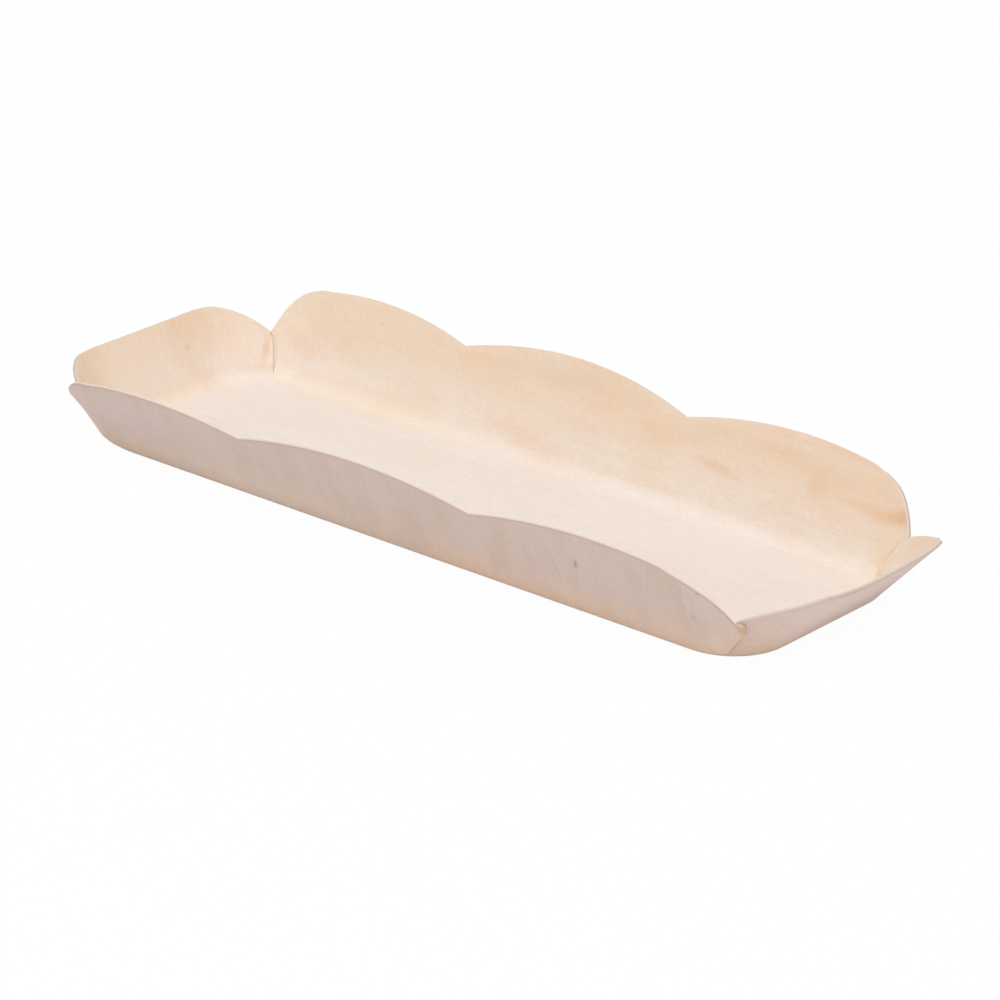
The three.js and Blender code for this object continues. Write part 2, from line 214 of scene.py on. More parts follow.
def end_rim(end, way):
    """Rim of an end wall: it rises from its middle by the square of the distance, and is rounded
    down to the notch by a power of the distance from it."""
    notch, notch_slope = size_at(end, "notch"), size_at(end, "notch_slope")
    end_slope, rise = size_at(end, "end_slope"), size_at(end, "corner_rise")
    from_middle = (quarter_way - way) / (quarter_way - notch)
    rounded = np.clip(1 - (way - notch) / size_at(end, "end_shoulder"), 0, 1) ** size_at(end, "end_power")
    rim = end_slope + rise * from_middle**2 - (end_slope + rise - notch_slope) * rounded
    return np.where(way < notch, tongue_rim(end, notch - way, end_tongue_width), rim)


def lap_lift(into_wall, end, way, slope):
    """Step of a wall at its lap: half of the two thicknesses, from the slit up, running out along
    the wall. The long wall steps out, the end wall in."""
    parted = np.clip((slope - slit_start_slope) / lap_parting_length, 0, 1)
    from_notch = into_wall * (way - size_at(end, "notch"))
    near = 1 - ease(from_notch, lap_level_length, lap_level_length + lap_runout)
    return into_wall * lap_shift * parted * near


left_lobe_columns = 66
middle_lobe_columns = 80
right_lobe_columns = 80
end_wall_columns = 81
bend_rows = 8
parting_rows = 5
upper_rows = 16
round_steps = 3
floor_end_rows = 8


def long_wall(side):
    """Columns of a long wall, from its left notch over both cusps to its right notch."""
    left_cusp, right_cusp = -left_end["cusp"], right_end["cusp"]
    along = np.concatenate([
        np.linspace(-left_end["notch"], left_cusp, left_lobe_columns, endpoint=False),
        np.linspace(left_cusp, right_cusp, middle_lobe_columns, endpoint=False),
        np.linspace(right_cusp, right_end["notch"], right_lobe_columns + 1),
    ])
    end = np.where(along < 0, LEFT, RIGHT)
    return {"end": end, "side": np.full_like(end, side), "way": np.abs(along), "into": -1, "rim": side_rim}


def end_wall(end):
    """Columns of an end wall, from its front notch over its middle to its back notch."""
    across = np.linspace(-1, 1, end_wall_columns) * (quarter_way - size_at(end, "notch"))
    side = np.where(across < 0, FRONT, BACK)
    end = np.full_like(side, end)
    return {"end": end, "side": side, "way": quarter_way - np.abs(across), "into": 1, "rim": end_rim}


def backwards(wall):
    """The same wall with its columns in the other order."""
    return {name: value[::-1] if isinstance(value, np.ndarray) else value for name, value in wall.items()}


# The four walls, anticlockwise as seen from above, each from notch to notch
tray_walls = {
    "front": long_wall(FRONT),
    "right": end_wall(RIGHT),
    "back": backwards(long_wall(BACK)),
    "left": backwards(end_wall(LEFT)),
}


def cut_profile(low, high, low_round, high_round):
    """Section of a cut edge from the outer face to the inner one: how far each point lies below
    the rim, and its lift. A rounded corner is a quarter circle."""
    angle = np.linspace(0, quarter_turn, round_steps + 1)
    drops, lifts = [], []
    for round_size, face, inward, order in ((low_round, low, 1, 1), (high_round, high, -1, -1)):
        arc = angle[::order] if round_size else angle[:1]
        drops.append(round_size * (1 - np.sin(arc)))
        lifts.append(face + inward * round_size * (1 - np.cos(arc)))
    return np.concatenate(drops), np.concatenate(lifts)


def wall_grid(wall, low, high, cut):
    """Carries a layer's section along a wall's columns: up the outer face, over the cut edge and
    down the inner face. Gives the points, their places on the blank and their slopes."""
    end, side, way = (wall[name][:, None] for name in ("end", "side", "way"))
    notch, notch_slope = size_at(end, "notch"), size_at(end, "notch_slope")
    near_notch = 1 - ease(np.abs(way - notch), 0, lap_runout)

    def shifted(slope):
        """The columns, moved past the notch by the tongue's width at a slope."""
        tongue = tongue_width_at(wall["into"], end, slope)
        return way - wall["into"] * near_notch * width_as_way(end, slope, tongue)

    rim = wall["rim"](end, shifted(notch_slope))
    bend = np.linspace(0, slit_start_slope, bend_rows, endpoint=False)
    parting = np.linspace(slit_start_slope, parted_slope, parting_rows, endpoint=False)
    share = np.linspace(0, 1, upper_rows, endpoint=False)
    low_rows = np.broadcast_to(np.concatenate([bend, parting]), (len(way), bend_rows + parting_rows))
    rows = np.concatenate([low_rows, parted_slope + (rim - parted_slope) * share], axis=1)
    climbed = np.concatenate([np.zeros(bend_rows + parting_rows), share])
    below_notch = np.maximum(notch_slope - rim, 0)
    drop, cut_lift = cut
    slope = np.concatenate([rows, rim - drop, rows[:, ::-1]], axis=1)
    climb = np.concatenate([climbed, np.ones_like(drop), climbed[::-1]])
    lift = np.concatenate([np.full_like(climbed, low), cut_lift, np.full_like(climbed, high)])
    lap_way = shifted(np.minimum(slope + below_notch * climb, notch_slope))
    stepped = lift + lap_lift(wall["into"], end, lap_way, slope)
    points = sheet_points(end, side, lap_way, slope, stepped, wall["into"] < 0)
    return points, blank_points(end, side, lap_way, slope, lift), slope


def grid_faces(start, columns, rows):
    """Quads of a grid of points that is stored column by column from a start index."""
    at = start + np.arange(columns * rows).reshape(columns, rows)
    corners = (at[:-1, :-1], at[1:, :-1], at[1:, 1:], at[:-1, 1:])
    return np.stack([corner.ravel() for corner in corners], axis=1)


def floor_grids(edges):
    """The flat floor in three grids: straight across between the long walls, and at each end from
    the line between the notches out to the floor's edge. Each grid is ready to face up."""
    across = np.linspace(0, 1, end_wall_columns)[None, :, None]
    out = np.linspace(0, 1, floor_end_rows)[:, None, None]
    front, back = edges["front"][:, None], edges["back"][::-1][:, None]
    grids = [lerp(front, back, across)]
    for name in ("right", "left"):
        edge = edges[name][None]
        notch_line = lerp(edge[:, :1], edge[:, -1:], across)
        grids.append(lerp(notch_line, edge, out))
    return grids


seam_distance = 0.001 * mm
sharp_edge_angle = math.radians(40)


def join_seams(mesh, face_outwards=False):
    """Merges the points that coincide where a mesh's grids meet, and shades it smooth."""
    joined = bmesh.new()
    joined.from_mesh(mesh)
    bmesh.ops.remove_doubles(joined, verts=joined.verts, dist=seam_distance)
    if face_outwards:
        bmesh.ops.recalc_face_normals(joined, faces=joined.faces)
    joined.to_mesh(mesh)
    joined.free()
    mesh.shade_smooth()


def layer_mesh(name, low, high, low_round, high_round):
    """Closed mesh of one layer of the sheet, between two lifts: the four walls, the floor's two
    faces and the cut edges. Its faces are material 0, its rims material 1 and its slits material 2."""
    cut = cut_profile(low, high, low_round, high_round)
    points, blanks, slopes, faces, rim_faces, slit_faces = [], [], [], [], [], []
    count = 0
    edges = {low: {}, high: {}}
    face_rows = bend_rows + parting_rows + upper_rows
    for wall_name, wall in tray_walls.items():
        grid, blank, slope = wall_grid(wall, low, high, cut)
        columns, rows = slope.shape
        edges[low][wall_name], edges[high][wall_name] = grid[:, 0], grid[:, -1]
        quads = grid_faces(count, columns, rows).reshape(columns - 1, rows - 1, 4)
        on_cut = np.zeros(rows - 1, bool)
        on_cut[face_rows : rows - 1 - face_rows] = True
        faces += quads[:, ~on_cut].reshape(-1, 4).tolist()
        rim_faces += quads[:, on_cut].reshape(-1, 4).tolist()
        for column in (0, columns - 1):
            at = count + column * rows + np.arange(rows)
            up, down = at[bend_rows:face_rows], at[::-1][bend_rows:face_rows]
            slit = np.stack([up[:-1], up[1:], down[1:], down[:-1]], axis=1)
            top = at[face_rows - 1 : rows - face_rows + 1]
            slit_faces += (slit if column == 0 else slit[:, ::-1]).tolist()
            slit_faces.append((top if column == 0 else top[::-1]).tolist())
        points.append(grid.reshape(-1, 3))
        blanks.append(blank.reshape(-1, 3))
        slopes.append(slope.ravel())
        count += grid.size // 3
    for lift, edge in edges.items():
        for grid in floor_grids(edge):
            columns, rows, _ = grid.shape
            quads = grid_faces(count, columns, rows)
            faces += (quads if lift == high else quads[:, ::-1]).tolist()
            points.append(grid.reshape(-1, 3))
            blanks.append(np.concatenate([points[-1][:, :2], np.full((len(points[-1]), 1), lift)], axis=1))
            slopes.append(np.zeros(len(points[-1])))
            count += columns * rows
    mesh = bpy.data.meshes.new(name)
    mesh.from_pydata((np.concatenate(points) + tray_place).tolist(), [], faces + rim_faces + slit_faces)
    counts = [len(faces), len(rim_faces), len(slit_faces)]
    mesh.polygons.foreach_set("material_index", np.repeat([0, 1, 2], counts))
    mesh.attributes.new("blank", "FLOAT_VECTOR", "POINT")
    mesh.attributes["blank"].data.foreach_set("vector", np.concatenate(blanks).ravel())
    mesh.attributes.new("slope", "FLOAT", "POINT")
    mesh.attributes["slope"].data.foreach_set("value", np.concatenate(slopes))
    join_seams(mesh)
    mesh.set_sharp_from_angle(angle=sharp_edge_angle)
    return mesh


def new_piece(name, mesh, materials, node):
    """Puts a mesh into the scene as the piece that stands for a node of the frame."""
    piece = bpy.data.objects.new(name, mesh)
    bpy.context.scene.collection.objects.link(piece)
    for material in materials:
        mesh.materials.append(material)
    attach(piece, "root")
    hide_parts(node)


# The frame has the middle of the whole outline as its middle. The two ends reach out unevenly, so
# the middle of the floor lies off it by half of the difference.
outer_low, outer_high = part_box("outer_ply")
square_cut = (np.zeros(1), np.zeros(1))
left_points, _, _ = wall_grid(tray_walls["left"], -sheet_thickness / 2, 0, square_cut)
right_points, _, _ = wall_grid(tray_walls["right"], -sheet_thickness / 2, 0, square_cut)
tray_place = np.array([
    (outer_low.x + outer_high.x - left_points[..., 0].min() - right_points[..., 0].max()) / 2,
    (outer_low.y + outer_high.y) / 2,
    outer_low.z,
])


def add_node(tree, kind, inputs=None, **settings):
    """Adds a shader node with its settings, and sets or links its inputs by name or number."""
    node = tree.nodes.new(kind)
    for name, value in settings.items():
        setattr(node, name, value)
    for key, value in (inputs or {}).items():
        if isinstance(value, bpy.types.NodeSocket):
            tree.links.new(value, node.inputs[key])
        else:
            node.inputs[key].default_value = value
    return node


def math_node(tree, operation, first, second=0.0):
    """A number worked out of one or two others."""
    return add_node(tree, "ShaderNodeMath", {0: first, 1: second}, operation=operation).outputs[0]


def vector_node(tree, operation, first, second=(0, 0, 0)):
    """A vector worked out of one or two others, or its length."""
    node = add_node(tree, "ShaderNodeVectorMath", {0: first, 1: second}, operation=operation)
    return node.outputs["Value" if operation == "LENGTH" else "Vector"]


def in_millimetres(tree, place):
    """A place in metres, as millimetres."""
    return vector_node(tree, "MULTIPLY", place, (1 / mm,) * 3)


def attribute(tree, name, output):
    """A value that the mesh carries at each of its points."""
    return add_node(tree, "ShaderNodeAttribute", attribute_name=name).outputs[output]


def mixed(tree, share, first, second):
    """The first colour, mixed with the second one by a share."""
    inputs = {"Factor": share, 6: first, 7: second}
    return add_node(tree, "ShaderNodeMix", inputs, data_type="RGBA").outputs[2]


def mixed_in(tree, mask, strength, first, second):
    """The first colour, mixed with the second one where a mask is, up to a strength."""
    return mixed(tree, math_node(tree, "MULTIPLY", mask, strength), first, second)


def between(tree, value, low, high):
    """0 where a value is under low and 1 where it is over high, rising smoothly between them."""
    inputs = {"Value": value, "From Min": low, "From Max": high}
    return add_node(tree, "ShaderNodeMapRange", inputs, interpolation_type="SMOOTHSTEP").outputs["Result"]


def noise(tree, place, stretch, detail=2.0, roughness=0.5, distortion=0.0):
    """Noise from 0 to 1 on places in millimetres, with its own scale in each direction."""
    inputs = {"Vector": vector_node(tree, "MULTIPLY", place, stretch), "Scale": 1.0}
    inputs |= {"Detail": detail, "Roughness": roughness, "Distortion": distortion}
    return add_node(tree, "ShaderNodeTexNoise", inputs).outputs[0]


def spread(tree, value, low, high):
    """A value from 0 to 1, spread evenly from low to high."""
    inputs = {"Value": value, "To Min": low, "To Max": high}
    return add_node(tree, "ShaderNodeMapRange", inputs).outputs["Result"]


def new_material(name):
    """A material, with its node tree and its Principled shader."""
    material = bpy.data.materials.new(name)
    material.use_nodes = True
    return material, material.node_tree, material.node_tree.nodes["Principled BSDF"]


def new_group(name, sockets):
    """An empty shader group with its inputs and outputs: rows of name, direction and type."""
    group = bpy.data.node_groups.new(name, "ShaderNodeTree")
    for socket, direction, kind in sockets:
        group.interface.new_socket(socket, in_out=direction, socket_type="NodeSocket" + kind)
    inside = group.nodes.new("NodeGroupInput")
    outside = group.nodes.new("NodeGroupOutput")
    return group, inside.outputs, outside.inputs


# Figure of a rotary-cut veneer: wide bands, long fine fibres, short dashes where the knife opened
# the pores, mottle and speckle. Place is in millimetres, with X along the grain. The height is the
# fibres less the dashes.
veneer_figure, figure_in, figure_out = new_group("veneer_figure", [
    ("Place", "INPUT", "Vector"),
    ("Bands", "OUTPUT", "Float"),
    ("Fibres", "OUTPUT", "Float"),
    ("Dashes", "OUTPUT", "Float"),
    ("Mottle", "OUTPUT", "Float"),
    ("Speckle", "OUTPUT", "Float"),
    ("Height", "OUTPUT", "Float"),
])
dash_depth = 0.6
grain_place = figure_in["Place"]
fibres = noise(veneer_figure, grain_place, stretch=(0.05, 2.2, 1), detail=4, roughness=0.65)
short_dashes = noise(veneer_figure, grain_place, stretch=(0.5, 6.5, 1), detail=1)
dashes = between(veneer_figure, short_dashes, low=0.56, high=0.74)
dash_hollows = math_node(veneer_figure, "MULTIPLY", dashes, dash_depth)
figure_parts = {
    "Bands": noise(veneer_figure, grain_place, stretch=(0.008, 0.11, 1), detail=3, distortion=0.4),
    "Fibres": fibres,
    "Dashes": dashes,
    "Mottle": noise(veneer_figure, grain_place, stretch=(0.05, 0.12, 1), detail=4, roughness=0.6),
    "Speckle": noise(veneer_figure, grain_place, stretch=(1.1, 2.4, 1), detail=2, roughness=0.7),
    "Height": math_node(veneer_figure, "SUBTRACT", fibres, dash_hollows),
}
for part_name, part in figure_parts.items():
    veneer_figure.links.new(part, figure_out[part_name])


def srgb(red, green, blue):
    """A colour given as it looks on the screen, from 0 to 255, as linear light."""
    shown = np.array([red, green, blue]) / 255
    linear = np.where(shown <= 0.04045, shown / 12.92, ((shown + 0.055) / 1.055) ** 2.4)
    return (*linear, 1.0)


def veneer_place(tree, grain_across, offset):
    """Places on the flat blank in millimetres, turned so that X runs along the grain."""
    turn = (0, 0, quarter_turn if grain_across else 0)
    inputs = {"Vector": attribute(tree, "blank", "Vector"), "Rotation": turn}
    inputs |= {"Scale": (1 / mm,) * 3, "Location": offset}
    return add_node(tree, "ShaderNodeMapping", inputs, vector_type="POINT").outputs[0]


# Mark in the wood: a soft oval on the blank, in millimetres, with a ragged edge. Its reach is the
# distance from its centre in half sizes, and the mask falls from 1 inside to 0 outside.
wood_mark, mark_in, mark_out = new_group("wood_mark", [
    ("Place", "INPUT", "Vector"),
    ("Centre", "INPUT", "Vector"),
    ("Half Size", "INPUT", "Vector"),
    ("Turn", "INPUT", "Float"),
    ("Mask", "OUTPUT", "Float"),
])
mark_raggedness = 0.5
mark_full_reach = 0.3
mark_end_reach = 1.25
mark_turn = add_node(wood_mark, "ShaderNodeCombineXYZ", {"Z": mark_in["Turn"]}).outputs[0]
mark_sockets = {"Vector": mark_in["Place"], "Location": mark_in["Centre"]}
mark_sockets |= {"Rotation": mark_turn, "Scale": mark_in["Half Size"]}
mark_frame = add_node(wood_mark, "ShaderNodeMapping", mark_sockets, vector_type="TEXTURE").outputs[0]
mark_flat = vector_node(wood_mark, "MULTIPLY", mark_frame, (1, 1, 0))
mark_noise = noise(wood_mark, mark_in["Place"], stretch=(0.5, 0.9, 0), detail=3)
mark_ragged = math_node(wood_mark, "MULTIPLY", mark_noise, mark_raggedness)
mark_reach = math_node(wood_mark, "ADD", vector_node(wood_mark, "LENGTH", mark_flat), mark_ragged)
mark_mask = between(wood_mark, mark_reach, low=mark_end_reach, high=mark_full_reach)
wood_mark.links.new(mark_mask, mark_out["Mask"])


def with_marks(tree, colour, marks):
    """A colour with marks laid over it: rows of centre, half length, half width, turn in degrees,
    colour and strength."""
    place = in_millimetres(tree, attribute(tree, "blank", "Vector"))
    for (x, y), half_length, half_width, turn, mark_colour, strength in marks:
        inputs = {"Place": place, "Centre": (x, y, 0), "Half Size": (half_length, half_width, 1)}
        inputs["Turn"] = math.radians(turn)
        mark = add_node(tree, "ShaderNodeGroup", inputs, node_tree=wood_mark)
        colour = mixed_in(tree, mark.outputs["Mask"], strength, colour, mark_colour)
    return colour


wall_line_wobble = 12 * mm
floor_band_strength = 0.12
wall_band_gain = 0.33
fibre_strength = 0.35
dash_strength = 0.25
grain_depth = 0.05 * mm


def veneer_material(name, grain_across, offset, lit_floor_colour, shaded_wall_colour, wall_shade_start, wall_shade_full,
                    band_colour, fibre_colour, marks):
    """Raw veneer: the floor's colour eases into the walls' between two slopes, along a wobbling
    line; this change of colour is painted light and shade. Bands and clouds are stronger on the
    walls. Fibres, dashes, single marks and speckle lie over them."""
    material, tree, shader = new_material(name)
    inputs = {"Place": veneer_place(tree, grain_across, offset)}
    figure = add_node(tree, "ShaderNodeGroup", inputs, node_tree=veneer_figure).outputs
    off_middle = math_node(tree, "SUBTRACT", figure["Mottle"], 0.5)
    wobble = math_node(tree, "MULTIPLY", off_middle, wall_line_wobble)
    wobbling_slope = math_node(tree, "ADD", attribute(tree, "slope", "Fac"), wobble)
    on_wall = between(tree, wobbling_slope, wall_shade_start, wall_shade_full)
    colour = mixed(tree, on_wall, lit_floor_colour, shaded_wall_colour)
    band_gain = math_node(tree, "MULTIPLY", on_wall, wall_band_gain)
    band_strength = math_node(tree, "ADD", floor_band_strength, band_gain)
    banded = between(tree, figure["Bands"], low=0.45, high=0.8)
    colour = mixed_in(tree, banded, band_strength, colour, band_colour)
    fibred = between(tree, figure["Fibres"], low=0.5, high=0.85)
    colour = mixed_in(tree, fibred, fibre_strength, colour, fibre_colour)
    colour = mixed_in(tree, figure["Dashes"], dash_strength, colour, fibre_colour)
    clouded = between(tree, figure["Mottle"], low=0.42, high=0.7)
    colour = mixed_in(tree, clouded, band_strength, colour, band_colour)
    colour = with_marks(tree, colour, marks)
    speckled = spread(tree, figure["Speckle"], low=0.9, high=1.1)
    colour = vector_node(tree, "MULTIPLY", colour, speckled)
    tree.links.new(colour, shader.inputs["Base Color"])
    tree.links.new(spread(tree, figure["Fibres"], low=0.6, high=0.75), shader.inputs["Roughness"])
    inputs = {"Strength": 0.25, "Distance": grain_depth, "Height": figure["Height"]}
    tree.links.new(add_node(tree, "ShaderNodeBump", inputs).outputs["Normal"], shader.inputs["Normal"])
    shader.inputs["Specular IOR Level"].default_value = 0.3
    return material


end_grain_blend = 4 * mm
least_end_grain = 0.55
end_grain_speckle = 0.6


def cut_edge_material(name, grain_across, pale_colour, end_grain_colour):
    """Die-cut edge of a ply: pale along the grain, and browner where the grain ends. A point is on
    a long side where it lies further past the floor's side than past its end."""
    material, tree, shader = new_material(name)
    blank = attribute(tree, "blank", "Vector")
    along, across, _ = add_node(tree, "ShaderNodeSeparateXYZ", {0: blank}).outputs
    past_end = math_node(tree, "SUBTRACT", math_node(tree, "ABSOLUTE", along), floor_length / 2)
    past_side = math_node(tree, "SUBTRACT", math_node(tree, "ABSOLUTE", across), floor_width / 2)
    nearer_side = math_node(tree, "SUBTRACT", past_side, past_end)
    on_side = between(tree, nearer_side, -end_grain_blend, end_grain_blend)
    grain_ends = on_side if grain_across else math_node(tree, "SUBTRACT", 1.0, on_side)
    speckle = noise(tree, in_millimetres(tree, blank), stretch=(2.5, 2.5, 12), detail=2)
    speckle = math_node(tree, "MULTIPLY", speckle, end_grain_speckle)
    strength = math_node(tree, "ADD", least_end_grain, speckle)
    colour = mixed_in(tree, grain_ends, strength, pale_colour, end_grain_colour)
    tree.links.new(colour, shader.inputs["Base Color"])
    shader.inputs["Roughness"].default_value = 0.8
    shader.inputs["Specular IOR Level"].default_value = 0.2
    return material


# Marks of the outer face: three wide, paler areas, of which the one over the right end wall is
# painted light from the right, a pin knot with its halo, a fine slanting line, a nick in the rim, a
# dent, the stains of glue at the notches and a dark line along the front right seam
pin_knot = (56.8, -47.3)
outer_marks = [
    # Painted light: the whole right end wall is drawn paler, as if lit from the right
    ((106, 0), 24, 40, 0, srgb(226, 206, 197), 0.75),
    ((-40, -35), 66, 11, 0, srgb(220, 202, 188), 0.75),
    ((-82, -47), 44, 12, 0, srgb(214, 196, 191), 0.6),
    (pin_knot, 3.4, 1.7, 103, srgb(204, 170, 142), 0.4),
    (pin_knot, 2.2, 0.7, 103, srgb(166, 122, 84), 0.55),
    ((50.3, -44.3), 7, 0.7, 82, srgb(182, 154, 134), 0.25),
    ((93.7, -49.4), 0.9, 0.6, 20, srgb(140, 108, 88), 0.55),
    ((89.4, -42.4), 2, 1.4, 70, srgb(176, 150, 136), 0.4),
    ((100.4, -34.4), 2.6, 2.2, -35, srgb(216, 170, 126), 0.6),
    # A dark line along the seam of the front right lap
    ((96.2, -31.3), 5.6, 0.5, -26, srgb(172, 112, 66), 0.8),
    ((-98.6, -36), 2.4, 2, 0, srgb(220, 176, 132), 0.5),
    ((99.4, 36.4), 2.4, 2, 0, srgb(220, 172, 126), 0.5),
    ((-98.6, 36), 2.4, 2, 0, srgb(220, 172, 126), 0.5),
]
# Painted light: the warm, paler colour low on the outer walls, easing into the greyer wall colour between 4
# and 15 mm of slope, stands for light bounced up from the table onto the shaded walls.
outer_veneer = veneer_material(
    "outer_veneer", True, (37, 210, 0),
    lit_floor_colour=srgb(225, 197, 175),
    shaded_wall_colour=srgb(213, 193, 183), wall_shade_start=4 * mm, wall_shade_full=15 * mm,
    band_colour=srgb(204, 178, 160),
    fibre_colour=srgb(192, 166, 150), marks=outer_marks,
)
outer_cut_edge = cut_edge_material("outer_cut_edge", True, srgb(199, 180, 169), srgb(188, 167, 155))
glued_edge = cut_edge_material("glued_edge", True, srgb(222, 192, 160), srgb(206, 172, 138))
outer_face = -sheet_thickness / 2
outer_film_face = outer_face + ply_thickness
new_piece(
    "outer_veneer_ply",
    layer_mesh("outer_veneer_ply", outer_face, outer_film_face, cut_edge_round, 0),
    (outer_veneer, outer_cut_edge, glued_edge), "outer_ply",
)

# Glue film: a thin spread of set wood glue that bonds the two plies all over.
# It shows only as a fine line along the cut edges.
inner_film_face = outer_film_face + glue_film_thickness
film_glue, film_tree, film_shader = new_material("film_glue")
film_place = veneer_place(film_tree, False, (0, 0, 0))
film_clouds = noise(film_tree, film_place, stretch=(0.4, 0.4, 0.4), detail=3)
film_colour = mixed(film_tree, film_clouds, srgb(208, 191, 176), srgb(196, 175, 155))
film_tree.links.new(film_colour, film_shader.inputs["Base Color"])
film_shader.inputs["Roughness"].default_value = 0.45
new_piece(
    "glue_film_layer",
    layer_mesh("glue_film_layer", outer_film_face, inner_film_face, 0, 0),
    (film_glue, film_glue, glued_edge), "glue_film",
)

# Inner ply: the same veneer, 0.45 mm thick, on the inside, with its grain along the tray.
# It is laid crosswise on the outer ply, so that the pressed sheet doesn't curl or split.

# Marks of the inner face: the far wall's streaks, patches and tan rims, with a pin speck, then the
# left end's paler, greyer tone, which is painted light, its small knot and stained notch, the tan
# foot of two walls, which is painted warm bounce light in the bend, and a slit's line
inner_marks = [
    ((40.6, 42.9), 10, 1.9, -8, srgb(224, 178, 136), 0.42),
    ((68.4, 46), 4.2, 5.2, 0, srgb(220, 182, 144), 0.34),
    ((91, 43.4), 16, 3, -7, srgb(222, 178, 132), 0.55),
    ((98, 42.8), 7, 3.4, -7, srgb(222, 172, 124), 0.45),
    ((94, 32), 14, 9, -45, srgb(234, 205, 171), 0.55),
    ((78, 45), 16, 2, -4, srgb(228, 190, 152), 0.16),
    ((74, 56.6), 30, 3, -7, srgb(224, 184, 148), 0.45),
    ((-7, 52), 20, 4.6, 3, srgb(216, 190, 162), 0.35),
    ((8, 57), 24, 2, 0, srgb(226, 188, 154), 0.35),
    ((-65.6, 50.8), 0.6, 0.6, 0, srgb(196, 158, 128), 0.5),
    ((60, 50.5), 26, 3.4, -5, srgb(224, 190, 158), 0.3),
    # Painted light: the left end wall drawn paler and greyer than the other walls, as it faces the light
    ((-110, -8), 9, 30, 0, srgb(235, 214, 195), 0.6),
    ((-108.3, 12), 1, 1.8, 30, srgb(206, 166, 130), 0.35),
    ((-95.8, 33.2), 4.6, 1.8, 120, srgb(218, 178, 136), 0.6),
    # Painted light: the tan foot of the left end and the far wall is warm light bounced in the bend
    ((-99, 0), 7, 26, 0, srgb(238, 210, 182), 0.45),
    ((-62, 31), 48, 8, 0, srgb(238, 212, 184), 0.4),
    ((97.5, 34), 5, 0.7, 40, srgb(206, 160, 118), 0.4),
]
# Painted shade and bounce light: the inner walls' warmer, darker colour, easing in from the floor's over 21
# mm of slope, stands for the walls' shade and for warm light bounced between the floor and the walls.
inner_veneer = veneer_material(
    "inner_veneer", False, (112, 31, 0),
    lit_floor_colour=srgb(233, 222, 213),
    shaded_wall_colour=srgb(230, 209, 187), wall_shade_start=0 * mm, wall_shade_full=21 * mm,
    band_colour=srgb(228, 196, 164),
    fibre_colour=srgb(214, 188, 164), marks=inner_marks,
)
inner_cut_edge = cut_edge_material("inner_cut_edge", False, srgb(223, 208, 197), srgb(214, 198, 186))
new_piece(
    "inner_veneer_ply",
    layer_mesh("inner_veneer_ply", inner_film_face, inner_film_face + ply_thickness, 0, cut_edge_round),
    (inner_veneer, inner_cut_edge, glued_edge), "inner_ply",
)

# Corner glue: a dab of set glue inside the lap at each corner, spread flat by the press.
# It holds the long wall's tongue on the outside of the end wall. What the press squeezed out has
# set as a drop at the notch, and as a thin bead along the tongue's edge inside the tray.
dab_least_width = 0.8 * mm
dab_inset = 0.2 * mm
dab_columns = 33
dab_rows = 9
drop_steps = 17
drop_half_width = 1.2 * mm
drop_half_height = 1.3 * mm
drop_half_depth = 0.9 * mm
drop_past_notch = 0.8 * mm
drop_above_notch = 0.45 * mm
drop_outward = 0.3 * mm
bead_width = 0.9 * mm
bead_overlap = 0.15 * mm
bead_top_power = 6
bead_runout = 0.5
bead_columns = 9
bead_rows = 25


def set_glue_material(name, thin_colour, thick_colour):
    """Set glue: clouded between two colours, with a dull shine."""
    material, tree, shader = new_material(name)
    place = in_millimetres(tree, add_node(tree, "ShaderNodeTexCoord").outputs["Object"])
    clouds = noise(tree, place, stretch=(1.5, 1.5, 1.5), detail=3)
    tree.links.new(mixed(tree, clouds, thin_colour, thick_colour), shader.inputs["Base Color"])
    shader.inputs["Roughness"].default_value = 0.5
    return material


THICK, THIN = 0, 1
corner_glue = set_glue_material("corner_glue", srgb(210, 184, 156), srgb(190, 155, 122))
thin_glue = set_glue_material("thin_glue", srgb(233, 217, 201), srgb(227, 207, 187))


def glue_drop(end, side):
    """Drop squeezed out at the notch: an oval by the cosine and sine of two angles, with its top a
    little above the notch."""
    around = np.linspace(0, 4 * quarter_turn, drop_steps)[:, None]
    tilt = np.linspace(-quarter_turn, quarter_turn, drop_steps)[None, :]
    top = size_at(end, "notch_slope") + drop_above_notch
    slope = top + drop_half_height * (np.cos(tilt) * np.sin(around) - 1)
    past_notch = drop_past_notch + drop_half_width * np.cos(tilt) * np.cos(around)
    way = size_at(end, "notch") + width_as_way(end, slope, past_notch)
    lift = drop_half_depth * np.sin(tilt) - drop_outward
    return sheet_points(end, side, way, slope, lift, False)


def glue_bead(end, side):
    """Bead squeezed out along the edge of the end wall's tongue inside the tray. Its section is a
    hollow curve from the tongue's inner face down to the long wall, by the square of the width,
    with its back against the tongue's edge. It runs out at the slit's start, and is rounded on top
    by the root of 1 less a power of the climb."""
    notch, notch_slope = size_at(end, "notch"), size_at(end, "notch_slope")
    climb = np.linspace(0, 1, bead_rows)[None, :]
    slope = lerp(slit_start_slope, notch_slope - tongue_drop, climb)
    across = np.linspace(0, 1, bead_columns)[:, None]
    edge = bead_overlap - tongue_width_at(1, end, slope)
    round_top = np.sqrt(1 - climb**bead_top_power)
    width = bead_width * round_top * ease(climb, 0, bead_runout)
    way = notch + width_as_way(end, slope, edge - width * across)
    inner_face = sheet_thickness / 2
    on_tongue, on_wall = (inner_face + lap_lift(into, end, notch, slope) for into in (1, -1))
    lift = lerp(on_wall, on_tongue, (1 - across) ** 2 * round_top)
    back = sheet_points(end, side, way[:1], slope, on_wall, False)
    front = sheet_points(end, side, way, slope, lift, False)
    return np.concatenate([back, front, back])


